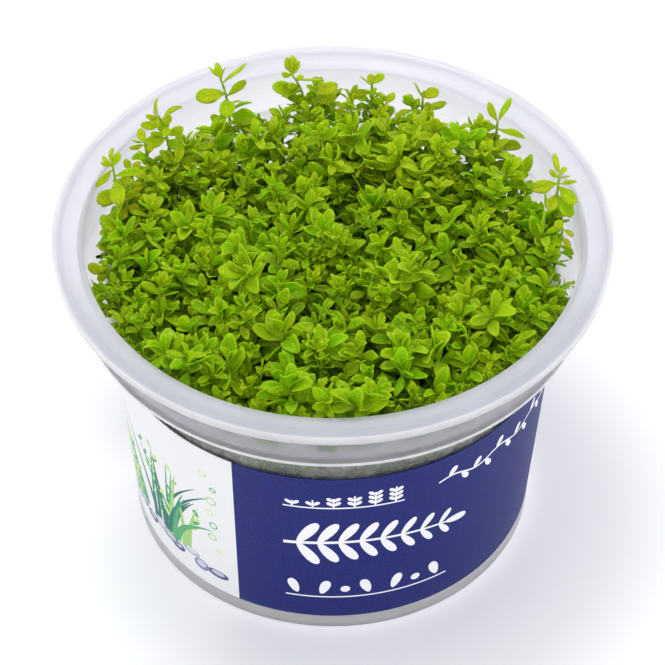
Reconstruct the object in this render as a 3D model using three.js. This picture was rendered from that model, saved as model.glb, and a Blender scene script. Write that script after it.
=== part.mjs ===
// Pearlweed grown in a tissue-culture cup: a translucent plastic cup with a wide flange, a printed paper
// sleeve round its body, a disc of nutrient gel on its floor, and tufts of pearlweed that stand in the gel
// and fill the cup to its rim. Millimetres, +Z up, origin on the cup's axis at the surface it stands on.
import * as THREE from "three";

// Driving dimensions of the cup
const cupHeight = 65.5;
const flangeRadius = 50;
const mouthRadius = 44.25;
const wall = 0.9;
const roundSegments = 36;

// Flange: a flat outer ring, a slope down to the mouth, and a short skirt at the edge
const flangeThickness = 1.0;
const flangeFlatWidth = 2.6;
const mouthDrop = 1.5;
const edgeRound = 0.5;
const skirtDepth = 2.4;
const skirtRadius = 49.7;

// Collar: the wide upper band, which ends below in a shoulder that steps in to the body
const shoulderHeight = 53.7;
const collarRadiusTop = 45.2;
const collarRadiusBottom = 45.7;
const shoulderRound = 0.5;

// Body: a tapered wall, standing in from a low band at the foot
const bodyRadiusFoot = 36.45;
const bodyRadiusShoulder = 40.65;
const footBandHeight = 3.1;
const footBandRadius = 36.85;
const footRound = 0.9;
const recessRadius = 31.5;
const recessDepth = 0.5;
const floorHeight = 1.4;
const floorRound = 1.6;

// Paper sleeve
const sleeveBottom = 3.5;
const sleeveTop = 44.2;
const sleeveClearance = 0.15;
const sleeveThickness = 0.25;

// Nutrient gel
const gelTop = 11;
const gelClearance = 0.15;

// Tufts of pearlweed: one in the middle and three rings of them, their stems packed side by side
const tuftsPerRing = [1, 6, 12, 18];
const ringSpacing = 11.6;
const ringTurns = [0, 0.6, 1.2, 0];
const tuftGap = 0.3;
const stemSpread = 39.1;
const leafSpread = 42.4;
const rootScale = 0.91;
const matBase = 55.2;
const matTop = 61.8;
const matDome = 1.6;
const matRoughness = 1.4;

// A tuft's outline is drawn by three points to a leaf, six leaves to a whorl
const tuftSegments = 18;
const leafNotch = 0.5;
const leafLift = 1.5;
const leafUnevenness = 0.25;

// Tall shoots that rise from tufts of the outer ring: which tuft, and the tip's bearing, radius and height
const tallShoots = [
  { step: 1, bearing: 14.8, radius: 41, top: 72.8 },
  { step: 2, bearing: 43, radius: 41, top: 66.9 },
  { step: 3, bearing: 65.5, radius: 41, top: 66.2 },
  { step: 4, bearing: 79.6, radius: 41, top: 66.6 },
  { step: 5, bearing: 101.3, radius: 41, top: 70.9 },
  { step: 6, bearing: 121.3, radius: 41, top: 73.5 },
  { step: 7, bearing: 140.6, radius: 41, top: 73.7 },
  { step: 8, bearing: 162.4, radius: 41, top: 71 },
];
const shootStem = 0.55;
const shootLeaf = 3.4;
const shootTipLeaf = 2.3;
const shootNotch = 0.22;

const plastic = new THREE.MeshStandardMaterial({
  color: 0xe4e4ec,
  roughness: 0.35,
  metalness: 0,
  transparent: true,
  opacity: 0.6,
});
const paper = new THREE.MeshStandardMaterial({ color: 0x2a2f7a, roughness: 0.5, metalness: 0 });
const gelClear = new THREE.MeshStandardMaterial({
  color: 0xdcdccb,
  roughness: 0.15,
  metalness: 0,
  transparent: true,
  opacity: 0.7,
});
const leafGreens = [0x86b912, 0x7aae10, 0x92c41c].map(
  (color) => new THREE.MeshStandardMaterial({ color, roughness: 0.4, metalness: 0 }),
);

// Turns a profile of [radius, height] pairs round the Z axis
function turned(profile, segments) {
  const points = profile.map(([radius, height]) => new THREE.Vector2(radius, height));
  const geometry = new THREE.LatheGeometry(points, segments);
  geometry.rotateX(Math.PI / 2);
  return geometry;
}

// Outer radius of the tapered body wall at a height
function bodyRadius(height) {
  const share = (height - footBandHeight) / (shoulderHeight - footBandHeight);
  return bodyRadiusFoot + share * (bodyRadiusShoulder - bodyRadiusFoot);
}

function piece(name, geometry, material) {
  const mesh = new THREE.Mesh(geometry, material);
  mesh.name = name;
  return mesh;
}

// Cup: one turned wall, drawn from the underside out and up to the flange, then down the inside
function makeCup() {
  const underFlange = cupHeight - flangeThickness;
  const flatInner = flangeRadius - flangeFlatWidth;
  const insideShoulder = shoulderHeight + wall;
  const outside = [
    [0, recessDepth],
    [recessRadius, recessDepth],
    [recessRadius + recessDepth, 0],
    [footBandRadius - footRound, 0],
    [footBandRadius, footRound],
    [footBandRadius, footBandHeight],
    [bodyRadiusFoot, footBandHeight + 0.3],
    [bodyRadiusShoulder, shoulderHeight],
    [collarRadiusBottom - shoulderRound, shoulderHeight],
    [collarRadiusBottom, shoulderHeight + shoulderRound],
    [collarRadiusTop, underFlange - mouthDrop / 2],
    [skirtRadius - wall, underFlange],
    [skirtRadius - wall, cupHeight - skirtDepth],
    [skirtRadius, cupHeight - skirtDepth],
    [flangeRadius, cupHeight - edgeRound],
    [flangeRadius - edgeRound, cupHeight],
  ];
  const inside = [
    [flatInner, cupHeight],
    [mouthRadius, cupHeight - mouthDrop],
    [collarRadiusBottom - wall, insideShoulder],
    [bodyRadiusShoulder - wall, insideShoulder],
    [bodyRadius(floorHeight) - wall, floorHeight + floorRound],
    [bodyRadius(floorHeight) - wall - floorRound, floorHeight],
    [0, floorHeight],
  ];
  return piece("cup", turned([...outside, ...inside], roundSegments), plastic);
}

// Sleeve: a strip of paper wrapped round the body
function makeSleeve() {
  const innerBottom = bodyRadius(sleeveBottom) + sleeveClearance;
  const innerTop = bodyRadius(sleeveTop) + sleeveClearance;
  const profile = [
    [innerBottom, sleeveBottom],
    [innerBottom + sleeveThickness, sleeveBottom],
    [innerTop + sleeveThickness, sleeveTop],
    [innerTop, sleeveTop],
    [innerBottom, sleeveBottom],
  ];
  return piece("label_sleeve", turned(profile, roundSegments), paper);
}

// Gel: a set disc that fills the cup's floor
function makeGel() {
  const profile = [
    [0, floorHeight],
    [bodyRadius(floorHeight) - wall - floorRound - gelClearance, floorHeight],
    [bodyRadius(floorHeight + floorRound) - wall - gelClearance, floorHeight + floorRound],
    [bodyRadius(gelTop) - wall - gelClearance, gelTop],
    [0, gelTop],
  ];
  return piece("nutrient_gel", turned(profile, roundSegments), gelClear);
}

// A number from 0 to 1 that looks random and is the same in every run
function scatter(seed) {
  const wave = Math.sin(seed * 12.9898) * 43758.5453;
  return wave - Math.floor(wave);
}

// Where the tufts stand at mat height, ring by ring from the middle
function tuftSpots() {
  const spots = [];
  tuftsPerRing.forEach((count, ring) => {
    for (let step = 0; step < count; step += 1) {
      const bearing = (step / count) * 2 * Math.PI + ringTurns[ring];
      spots.push({
        x: ring * ringSpacing * Math.cos(bearing),
        y: ring * ringSpacing * Math.sin(bearing),
        outward: ring / (tuftsPerRing.length - 1),
        shoot: ring === 3 ? tallShoots.find((shoot) => shoot.step === step) : undefined,
      });
    }
  });
  return spots;
}

// How far a tuft may reach in a direction: half way to each neighbour, and no further out than the limit
function reachTowards(spot, angle, spots, limit) {
  const [dx, dy] = [Math.cos(angle), Math.sin(angle)];
  const along = spot.x * dx + spot.y * dy;
  let reach = Math.sqrt(along ** 2 + limit ** 2 - spot.x ** 2 - spot.y ** 2) - along;
  for (const other of spots) {
    const [ox, oy] = [other.x - spot.x, other.y - spot.y];
    const towards = ox * dx + oy * dy;
    const distance = Math.hypot(ox, oy);
    if (towards > 0) reach = Math.min(reach, ((distance - tuftGap) * distance) / 2 / towards);
  }
  return reach;
}

// A tuft's cross-sections from the gel up: packed stems, two whorls of leaves, and any tall shoot
function levelsOf(spot, seed) {
  const top = matTop + matDome * (1 - spot.outward ** 2) + matRoughness * (scatter(seed) - 0.5);
  const levels = [
    { height: gelTop, share: 0 },
    { height: gelTop, share: 0.94 },
    { height: matBase, share: 1 },
    { height: top - 4.3, share: 1, leaves: 6, notch: leafNotch, limit: leafSpread },
    { height: top - 3.3, share: 0.5 },
    { height: top - 2.3, share: 0.8, leaves: 6, notch: leafNotch, offset: 1.5 },
  ];
  if (spot.shoot) {
    const rise = spot.shoot.top - top;
    const whorls = rise > 6 ? 2 : 1;
    levels.push({ height: top - 1.2, width: shootStem });
    for (let whorl = 1; whorl <= whorls; whorl += 1) {
      const width = whorl === whorls ? shootTipLeaf : shootLeaf;
      const height = spot.shoot.top - 2.4 - (whorls - whorl) * (rise / 2);
      levels.push({ height, width, leaves: 3, notch: shootNotch, offset: whorl * 3 });
      if (whorl < whorls) levels.push({ height: height + rise / 4, width: shootStem });
    }
    levels.push({ height: spot.shoot.top, share: 0 });
  } else {
    levels.push({ height: top, share: 0 });
  }
  return levels;
}

// The axis of a tuft at a height: drawn in towards the root, and bent out to the tip of a tall shoot
function axisAt(spot, height) {
  const scale = rootScale + (1 - rootScale) * Math.min((height - gelTop) / (matBase - gelTop), 1);
  const axis = new THREE.Vector2(spot.x, spot.y).multiplyScalar(scale);
  if (spot.shoot && height > matTop) {
    const { bearing, radius, top } = spot.shoot;
    const angle = THREE.MathUtils.degToRad(bearing);
    const tip = new THREE.Vector2(radius * Math.cos(angle), radius * Math.sin(angle));
    axis.lerp(tip, (height - matTop) / (top - matTop));
  }
  return { axis, scale };
}

// One tuft: a turned solid whose rings are drawn out to leaves at the whorls and fill the tuft's share of
// the cup between them
function makeTuft(spot, spots, index) {
  const levels = levelsOf(spot, index + 1);
  const profile = levels.map(({ height, share, width }) => [width ?? share, height]);
  const geometry = turned(profile, tuftSegments);
  const places = geometry.getAttribute("position");
  const turn = scatter(index + 101) * 2 * Math.PI;

  for (let i = 0; i < places.count; i += 1) {
    const { height, share, width, leaves, notch, offset = 0, limit = stemSpread } = levels[i % levels.length];
    const column = Math.floor(i / levels.length) % tuftSegments;
    const angle = turn + (column / tuftSegments) * 2 * Math.PI;
    const { axis, scale } = axisAt(spot, height);
    let reach = width ?? share * scale * reachTowards(spot, angle, spots, limit);
    let z = height;
    if (leaves) {
      const phase = ((column + offset) * leaves) / tuftSegments;
      const fullness = Math.abs(Math.sin(Math.PI * phase)) ** 0.7;
      const unevenness = 1 - leafUnevenness * scatter(index * 7 + column + height);
      reach *= (notch + (1 - notch) * fullness) * unevenness;
      z += leafLift * fullness;
    }
    places.setXYZ(i, axis.x + reach * Math.cos(angle), axis.y + reach * Math.sin(angle), z);
  }
  const name = `tuft_${String(index + 1).padStart(2, "0")}`;
  return piece(name, geometry, leafGreens[index % leafGreens.length]);
}

const pearlweed = new THREE.Group();
pearlweed.name = "pearlweed_cup";
pearlweed.add(makeCup(), makeSleeve(), makeGel());

const tufts = new THREE.Group();
tuftSpots().forEach((spot, index, spots) => tufts.add(makeTuft(spot, spots, index)));
pearlweed.add(tufts);

export default pearlweed;
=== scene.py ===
"""Pearlweed grown in a frosted tissue-culture cup, dressed round its CAD frame.

Run as a script in Blender 4.5. Lengths inside the builders are millimetres and are turned into metres
when a piece is finished.
"""

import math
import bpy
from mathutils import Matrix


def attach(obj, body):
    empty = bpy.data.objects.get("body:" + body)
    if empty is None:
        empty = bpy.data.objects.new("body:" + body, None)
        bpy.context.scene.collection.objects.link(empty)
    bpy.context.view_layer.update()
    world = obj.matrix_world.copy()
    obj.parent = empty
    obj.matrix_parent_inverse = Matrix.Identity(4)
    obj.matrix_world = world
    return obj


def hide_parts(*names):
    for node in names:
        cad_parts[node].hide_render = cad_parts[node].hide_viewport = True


bl_info = {
    "name": "Pearlweed Cup",
    "version": (1, 0, 0),
    "blender": (4, 5, 0),
    "location": "View3D > Sidebar > Pearlweed",
    "description": "Builds pearlweed in a frosted cup with a printed sleeve round its CAD frame",
    "category": "Add Mesh",
}

import bmesh
import bpy
import numpy as np
from mathutils import Vector
from mathutils.geometry import delaunay_2d_cdt

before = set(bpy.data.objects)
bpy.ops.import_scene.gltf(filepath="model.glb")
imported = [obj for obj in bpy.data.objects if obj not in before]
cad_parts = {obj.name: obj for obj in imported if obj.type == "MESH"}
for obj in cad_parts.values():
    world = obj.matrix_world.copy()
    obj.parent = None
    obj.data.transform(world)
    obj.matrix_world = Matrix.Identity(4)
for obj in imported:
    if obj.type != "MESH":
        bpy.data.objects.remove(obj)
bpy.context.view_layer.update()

MM = 0.001
BODY = "root"


# Settings that a user would change


def length_setting(name, description, millimetres):
    return bpy.props.FloatProperty(
        name=name, description=description, default=millimetres * MM, unit="LENGTH"
    )


def colour_setting(name, description, default):
    return bpy.props.FloatVectorProperty(
        name=name, description=description, default=default, subtype="COLOR", min=0, max=1
    )


class CupSettings(bpy.types.PropertyGroup):
    wall: length_setting("Wall", "Thickness of the cup's wall", 0.9)
    plastic: colour_setting("Plastic", "Tint of the frosted plastic where it is thin", (0.955, 0.925, 1.0))
    # The flange colour is what the cup's tint attribute mixes in: mostly painted shade, partly the darker
    # plastic of the thick flange.
    flange: colour_setting("Flange", "Tint of the plastic across the thicker flange", (0.64, 0.67, 0.87))
    segments: bpy.props.IntProperty(name="Segments", description="Steps round the cup", default=192, min=24)


class SleeveSettings(bpy.types.PropertyGroup):
    navy: colour_setting("Navy", "Ground colour of the printed front", (0.006, 0.0125, 0.148))
    paper: colour_setting("Paper", "Colour of the bare paper", (0.82, 0.82, 0.83))


class GelSettings(bpy.types.PropertyGroup):
    depth: length_setting("Depth", "Height of the gel's top above the ground", 11)
    tint: colour_setting("Tint", "Colour of the nutrient gel", (0.5, 0.52, 0.25))


class PlantSettings(bpy.types.PropertyGroup):
    seed: bpy.props.IntProperty(name="Seed", description="Start of the random draws", default=11)
    stem_pitch: length_setting("Stem pitch", "Distance between neighbouring stems in the mat", 4.6)
    leaf_length: length_setting("Leaf length", "Length of a full-grown leaf", 4.6)
    mat_top: length_setting("Mat top", "Height of the leafy mat at the cup's rim", 61.4)
    # The sunlit colour is painted light: the tall shoots and the leaves along the back get it for the light
    # that falls on them and through them from behind.
    sunlit: colour_setting(
        "Sunlit leaf",
        "Colour of the yellowest leaves, on the tall shoots and along the back",
        (0.46, 0.525, 0.01),
    )
    young: colour_setting("Young leaf", "Colour of the bright leaves in the mat", (0.305, 0.525, 0.003))
    grown: colour_setting("Grown leaf", "Colour of most leaves", (0.205, 0.5, 0.001))
    # The old colour is lighter than the grown one: painted light in the shade deep in the mat, where the
    # lowest leaves are.
    old: colour_setting("Old leaf", "Colour of the lowest leaves", (0.25, 0.64, 0.003))


class StageSettings(bpy.types.PropertyGroup):
    floor: colour_setting("Floor", "Colour of the floor", (0.97, 0.97, 0.97))
    sky: bpy.props.FloatProperty(
        name="Surround", description="Strength of the even light from all sides", default=1.05
    )
    key: bpy.props.FloatProperty(
        name="Key", description="Power of the large soft light overhead", default=2.4, unit="POWER"
    )


SETTINGS = {
    "pearlweed_cup": CupSettings,
    "pearlweed_sleeve": SleeveSettings,
    "pearlweed_gel": GelSettings,
    "pearlweed_plants": PlantSettings,
    "pearlweed_stage": StageSettings,
}


# Materials


def rgba(color):
    return (*color, 1.0)


class Surface:
    """A material with one Principled shader, and short ways to add the nodes that drive it."""

    def __init__(self, name, **sockets):
        self.material = bpy.data.materials.new(name)
        self.material.use_nodes = True
        self.tree = self.material.node_tree
        self.shader = self.tree.nodes["Principled BSDF"]
        by_name = {socket.name.lower().replace(" ", "_"): socket for socket in self.shader.inputs}
        for key, value in sockets.items():
            by_name[key].default_value = value
        self.place = self.node("TexCoord").outputs["Object"]

    def node(self, kind, inputs=None, **settings):
        """A node of that kind, with settings on the node and values or links on its inputs."""
        node = self.tree.nodes.new("ShaderNode" + kind)
        for key, value in settings.items():
            setattr(node, key, value)
        for key, value in (inputs or {}).items():
            if isinstance(value, bpy.types.NodeSocket):
                self.tree.links.new(value, node.inputs[key])
            else:
                node.inputs[key].default_value = value
        return node

    def calc(self, operation, a, b=0.0, clamp=False):
        return self.node("Math", {0: a, 1: b}, operation=operation, use_clamp=clamp).outputs[0]

    def add(self, a, b, clamp=False):
        return self.calc("ADD", a, b, clamp)

    def minus(self, a, b, clamp=False):
        return self.calc("SUBTRACT", a, b, clamp)

    def times(self, a, b):
        return self.calc("MULTIPLY", a, b)

    def remap(self, value, low, high, to_low, to_high):
        return self.node("MapRange", {0: value, 1: low, 2: high, 3: to_low, 4: to_high}).outputs[0]

    def noise(self, place, scale, detail=2.0, roughness=0.5):
        inputs = {"Vector": place, "Scale": scale, "Detail": detail, "Roughness": roughness}
        return self.node("TexNoise", inputs).outputs["Fac"]

    def attribute(self, name, output="Fac"):
        return self.node("Attribute", attribute_name=name).outputs[output]

    def blend(self, factor, a, b, mode="MIX"):
        return self.node("Mix", {0: factor, 6: a, 7: b}, data_type="RGBA", blend_type=mode).outputs[2]

    def toned(self, color, tone):
        """The colour made lighter or darker by a tone, where 1 leaves it as it is."""
        even = self.node("CombineColor", {0: tone, 1: tone, 2: tone}).outputs[0]
        return self.blend(1.0, color, even, "MULTIPLY")

    def drive(self, socket, value):
        self.tree.links.new(value, self.shader.inputs[socket])

    def bump(self, height, strength, distance):
        inputs = {"Height": height, "Strength": strength, "Distance": distance}
        self.drive("Normal", self.node("Bump", inputs).outputs[0])


def frosted_plastic():
    """Milky moulded plastic: whiter where it is thick, with faint turned rings, clouds and scuffs."""
    cup = bpy.context.scene.pearlweed_cup
    surface = Surface(
        "frosted_plastic",
        ior=1.4,
        specular_ior_level=0.35,
        subsurface_weight=1.0,
        subsurface_radius=(1.0, 1.0, 1.0),
        subsurface_scale=0.018,
    )
    thick = surface.attribute("thick")
    x, y, z = surface.node("SeparateXYZ", {0: surface.place}).outputs
    radius = surface.calc("SQRT", surface.add(surface.times(x, x), surface.times(y, y)))
    rings = surface.noise(surface.node("CombineXYZ", {0: radius, 1: 0.0, 2: z}).outputs[0], 1500)
    cloud = surface.noise(surface.place, 110, 3)
    scuff = surface.noise(surface.place, 1700)
    wave = surface.times(surface.add(0.05, surface.times(thick, 0.22)), surface.add(cloud, rings))
    dew = surface.remap(surface.noise(surface.place, 620, 4, 0.65), 0.48, 0.72, 0.0, 0.3)
    fog = surface.remap(cloud, 0.45, 0.57, 0.0, 0.3)
    dew = surface.times(surface.add(dew, fog), surface.remap(thick, 0.03, 0.08, 1.0, 0.06))
    milk = surface.add(surface.times(thick, 0.75), surface.add(wave, dew))
    surface.drive("Transmission Weight", surface.minus(1.0, milk, clamp=True))
    level = surface.remap(cloud, 0.3, 0.7, 0.12, 0.18)
    surface.drive("Roughness", surface.add(level, surface.times(thick, 0.35)))
    # The tint attribute mixes in the flange colour: painted shade at the front and on the foot, body band and
    # collar, with a little of the thick flange's darker plastic.
    color = surface.blend(surface.attribute("tint"), rgba(cup.plastic), rgba(cup.flange))
    surface.drive("Base Color", surface.toned(color, surface.remap(rings, 0.3, 0.7, 0.95, 1.03)))
    surface.bump(surface.add(rings, surface.times(scuff, 0.15)), 0.12, 0.00002)
    return surface.material


def printed_paper():
    """Smooth printed paper: its inks come from the sleeve's own attribute, with grain in the dark ink."""
    surface = Surface("printed_paper", roughness=0.5, specular_ior_level=0.22)
    ink = surface.attribute("ink", "Color")
    dark = surface.minus(1.0, surface.node("RGBToBW", {0: ink}).outputs[0])
    grain = surface.remap(surface.noise(surface.place, 3000, 2, 0.7), 0.35, 0.65, -0.4, 0.4)
    tone = surface.add(1.0, surface.times(grain, surface.calc("POWER", dark, 4.0)))
    surface.drive("Base Color", surface.toned(ink, tone))
    surface.bump(grain, 0.1, 0.00002)
    return surface.material


def set_gel():
    tint = rgba(bpy.context.scene.pearlweed_gel.tint)
    surface = Surface("set_gel", base_color=tint, ior=1.34, transmission_weight=0.7, specular_ior_level=0.4)
    cloud = surface.noise(surface.place, 160, 3)
    surface.drive("Roughness", surface.remap(cloud, 0.3, 0.7, 0.12, 0.3))
    surface.bump(cloud, 0.3, 0.0002)
    return surface.material


def leaf_flesh():
    """Leaf: green by its age, paler along the midrib and the thin edge, where the pale edge is partly painted
    rim highlight, faint side veins, painted glints, waxy surface.
    """
    plants = bpy.context.scene.pearlweed_plants
    leaf = Surface(
        "leaf_flesh",
        ior=1.42,
        specular_ior_level=0.22,
        specular_tint=(0.9, 1.0, 0.25, 1.0),
        subsurface_weight=0.45,
        subsurface_radius=(0.5, 1.0, 0.12),
        subsurface_scale=0.0012,
    )
    age = leaf.attribute("age")
    uv = leaf.node("UVMap", uv_map="leaf_uv").outputs["UV"]
    across, along, _ = leaf.node("SeparateXYZ", {0: uv}).outputs
    side = leaf.calc("ABSOLUTE", leaf.minus(across, 0.5))

    ramp = leaf.node("ValToRGB", {0: age})
    stops = ramp.color_ramp.elements
    stops[0].color, stops[1].color = rgba(plants.sunlit), rgba(plants.old)
    stops.new(0.2).color = rgba(plants.young)
    stops.new(0.55).color = rgba(plants.grown)
    mottle = leaf.noise(leaf.place, 900, 3)
    flesh = leaf.blend(leaf.remap(mottle, 0.38, 0.7, 0.0, 0.4), ramp.outputs[0], rgba(plants.young))
    shade = leaf.remap(leaf.noise(leaf.place, 420), 0.35, 0.65, 0.74, 1.0)
    grain = leaf.remap(leaf.noise(leaf.place, 3000, 2, 0.6), 0.35, 0.65, 0.85, 1.1)
    flesh = leaf.toned(flesh, leaf.times(shade, grain))

    veins = leaf.calc("SINE", leaf.minus(leaf.times(along, 42), leaf.times(side, 26)))
    veins = leaf.remap(veins, 0.55, 1.0, 0.0, 1.0)
    midrib = leaf.remap(side, 0.018, 0.07, 1.0, 0.0)
    # The pale edge is partly the leaf's own thin margin and partly a painted rim highlight.
    edge = leaf.remap(leaf.attribute("margin"), 0.74, 1.0, 0.0, 1.0)
    pale = leaf.add(leaf.times(veins, 0.1), leaf.times(midrib, 0.28))
    pale = leaf.add(pale, leaf.times(edge, 0.5), clamp=True)
    pale = leaf.add(pale, leaf.times(leaf.attribute("under"), 0.12), clamp=True)
    ripe = leaf.remap(leaf.noise(leaf.place, 240), 0.42, 0.58, 0.1, 1.0)
    ripe = leaf.times(ripe, leaf.remap(age, 0.02, 0.1, 1.0, 0.0))
    rim = leaf.blend(ripe, (0.4, 0.6, 0.01, 1), (0.17, 0.19, 0.02, 1))
    # Painted highlights: small pale specks standing in for glints on wet leaves.
    painted_glints = leaf.remap(leaf.noise(leaf.place, 2600, 1), 0.67, 0.72, 0.0, 0.6)
    leaf.drive("Base Color", leaf.blend(painted_glints, leaf.blend(pale, flesh, rim), (0.58, 0.8, 0.12, 1)))
    leaf.drive("Roughness", leaf.remap(leaf.noise(leaf.place, 2400), 0.35, 0.65, 0.2, 0.45))
    ribs = leaf.add(leaf.times(midrib, 0.9), leaf.times(veins, 0.25))
    leaf.bump(leaf.minus(mottle, ribs), 0.35, 0.00008)
    return leaf.material


def stem_flesh():
    stem = Surface(
        "stem_flesh",
        ior=1.4,
        specular_ior_level=0.12,
        roughness=0.55,
        specular_tint=(0.8, 1.0, 0.3, 1.0),
        subsurface_weight=0.2,
        subsurface_radius=(0.6, 1.0, 0.2),
        subsurface_scale=0.0008,
    )
    streak = stem.remap(stem.noise(stem.place, 500), 0.3, 0.7, 0.0, 1.0)
    stem.drive("Base Color", stem.blend(streak, (0.22, 0.4, 0.015, 1), (0.4, 0.56, 0.05, 1)))
    return stem.material


# Mesh helpers


def finish_piece(name, mesh, materials, nodes):
    """An object at the origin that rides the body and stands for its CAD nodes."""
    for material in materials:
        mesh.materials.append(material)
    piece = bpy.data.objects.new(name, mesh)
    bpy.context.scene.collection.objects.link(piece)
    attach(piece, BODY)
    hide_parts(*nodes)
    return piece


def mesh_from_bmesh(name, bm, smooth=True):
    mesh = bpy.data.meshes.new(name)
    bmesh.ops.scale(bm, vec=(MM, MM, MM), verts=bm.verts)
    bm.to_mesh(mesh)
    bm.free()
    mesh.polygons.foreach_set("use_smooth", [smooth] * len(mesh.polygons))
    return mesh


def turn_profile(corners, segments):
    """A solid turned about Z from corners of (radius, height, rounding), first and last on the axis."""
    bm = bmesh.new()
    verts = [bm.verts.new((radius, 0, height)) for radius, height, _ in corners]
    for a, b in zip(verts, verts[1:]):
        bm.edges.new((a, b))
    for rounding in sorted({corner[2] for corner in corners} - {0}):
        picked = [v for v, corner in zip(verts, corners) if corner[2] == rounding]
        bmesh.ops.bevel(
            bm,
            geom=picked,
            offset=rounding,
            offset_type="OFFSET",
            affect="VERTICES",
            segments=5,
            profile=0.5,
            material=-1,
        )
    bmesh.ops.spin(
        bm,
        geom=bm.verts[:] + bm.edges[:],
        cent=(0, 0, 0),
        axis=(0, 0, 1),
        angle=2 * math.pi,
        steps=segments,
        use_merge=True,
    )
    bmesh.ops.remove_doubles(bm, verts=bm.verts, dist=0.0005)
    bmesh.ops.recalc_face_normals(bm, faces=bm.faces)
    return bm


def crease_sharp(mesh, degrees):
    """Marks edges sharper than the angle, so that flat faces stay flat under smooth shading."""
    bm = bmesh.new()
    bm.from_mesh(mesh)
    limit = math.radians(degrees)
    for edge in bm.edges:
        edge.smooth = not (edge.is_manifold and edge.calc_face_angle(0) > limit)
    bm.to_mesh(mesh)
    bm.free()


# Cup


FOOT_RADIUS, FOOT_HEIGHT = 36.45, 3.1
SHOULDER_RADIUS, SHOULDER_HEIGHT = 40.65, 53.7


def body_radius(height):
    """Outer radius of the cup's tapered body."""
    rise = SHOULDER_HEIGHT - FOOT_HEIGHT
    return FOOT_RADIUS + (height - FOOT_HEIGHT) * (SHOULDER_RADIUS - FOOT_RADIUS) / rise


def cup_corners(wall):
    """The cup's section as (radius, height, rounding, thick, haze, tint, far tint).

    Thick whitens the plastic. Haze is added to it away from the front, or from the sides to the back where it
    is negative. Tint is painted shade, with a little of the thick flange's darker plastic in it: it darkens
    the plastic at the front, less at the sides, and by the far tint at the back, and on the foot, the body
    band and the collar, which lie in the shade of the cup, the ledge and the flange."""
    floor = 1.4
    return [
        (0, 0.5, 0, 0.3, 0, 0, 0),
        (31.4, 0.5, 0.25, 0.3, 0, 0, 0),
        (31.9, 0, 0.2, 1, 0, 0, 0),
        (36.85, 0, 0.8, 1, 0, 0.2, 0.1),
        (36.85, 3.1, 0.25, 1, 0, 0.2, 0.1),
        (body_radius(3.4), 3.4, 0.2, 0.9, 0, 0.2, 0.1),
        (body_radius(5), 5, 0, 0.1, 0, 0, 0),
        (body_radius(44), 44, 0, 0.02, 0, 0.35, 0.2),
        (body_radius(51), 51, 0, 0.02, 0, 0.35, 0.2),
        (SHOULDER_RADIUS, SHOULDER_HEIGHT, 0.35, 0.3, 0, 0, 0),
        (45.0, SHOULDER_HEIGHT, 0, 0.3, 0, 0, 0),
        (45.55, 53.6, 0.2, 0.95, 0, 0, 0),
        (45.8, 53.85, 0.2, 0.95, 0, 0, 0),
        (45.62, 54.1, 0.1, 0.8, 0, 0, 0),
        (45.6, 54.4, 0, 0.1, 0, 0.25, 0.1),
        (45.25, 62.4, 0, 0.1, 0, 0.25, 0.1),
        (45.2, 63.75, 0.45, 0.3, 0, 0, 0),
        (48.7, 64.5, 0.2, 0.45, 0, 0.4, 0.2),
        (48.7, 63.0, 0.1, 0.4, 0, 0.2, 0.1),
        (49.05, 62.7, 0.15, 0.4, 0, 0.2, 0.1),
        (49.62, 63.5, 0.12, 0.8, -0.8, 0.1, 0),
        (49.7, 63.9, 0, 0.9, -0.8, 0.1, 0),
        (50.0, 65.5, 0.6, 0.9, -0.8, 0.1, 0),
        (49.3, 65.5, 0, 0.55, 0.15, 1, 0.3),
        (47.4, 65.5, 0.6, 0.46, 0, 1, 0.5),
        (45.3, 64.95, 0, 0.46, 0, 1, 0.75),
        (44.25, 64.5, 0.35, 0.5, 0, 0.8, 0.55),
        (44.22, 63.6, 0, 0.1, 0.4, 0, 0),
        (44.24, 62.4, 0, 0.1, 0.4, 0, 0),
        (45.7 - wall, SHOULDER_HEIGHT + wall, 0.8, 0.34, 0.3, 0, 0),
        (SHOULDER_RADIUS - wall, SHOULDER_HEIGHT + wall, 0.45, 0.34, 0.3, 0, 0),
        (40.45 - wall, 52.3, 0, 0, 0.3, 0, 0),
        (body_radius(floor) - wall, floor, 1.6, 0.1, 0, 0, 0),
        (0, floor, 0, 0.3, 0, 0, 0),
    ]


class PEARLWEED_OT_cup(bpy.types.Operator):
    """Turn the frosted cup with its flange, skirt, collar, shoulder and foot"""

    bl_idname = "pearlweed.cup"
    bl_label = "Frosted Cup"

    def execute(self, context):
        cup = context.scene.pearlweed_cup
        corners = cup_corners(cup.wall / MM)
        bm = turn_profile([corner[:3] for corner in corners], cup.segments)
        stations = np.array([corner[:2] for corner in corners])
        thick_layer, shade_tint_layer = bm.verts.layers.float.new("thick"), bm.verts.layers.float.new("tint")
        for v in bm.verts:
            gaps = np.hypot(stations[:, 0] - math.hypot(v.co.x, v.co.y), stations[:, 1] - v.co.z)
            thick, haze, tint, far_shade_tint = corners[int(np.argmin(gaps))][3:]
            back = min(max(0.5 + v.co.y / 90, 0), 1)
            v[thick_layer] = thick + haze * (min(2 * back, 1) if haze > 0 else max(2 * back - 1, 0))
            # Painted shade: the flange colour is mixed in most at the front, 0.62 as much at the sides, and
            # by the far shade tint at the back.
            v[shade_tint_layer] = np.interp(back, (0, 0.5, 1), (tint, 0.62 * tint, far_shade_tint))
        mesh = mesh_from_bmesh("frosted_cup", bm)
        crease_sharp(mesh, 50)
        finish_piece("frosted_cup", mesh, [frosted_plastic()], ["cup"])
        return {"FINISHED"}


# Gel


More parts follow.
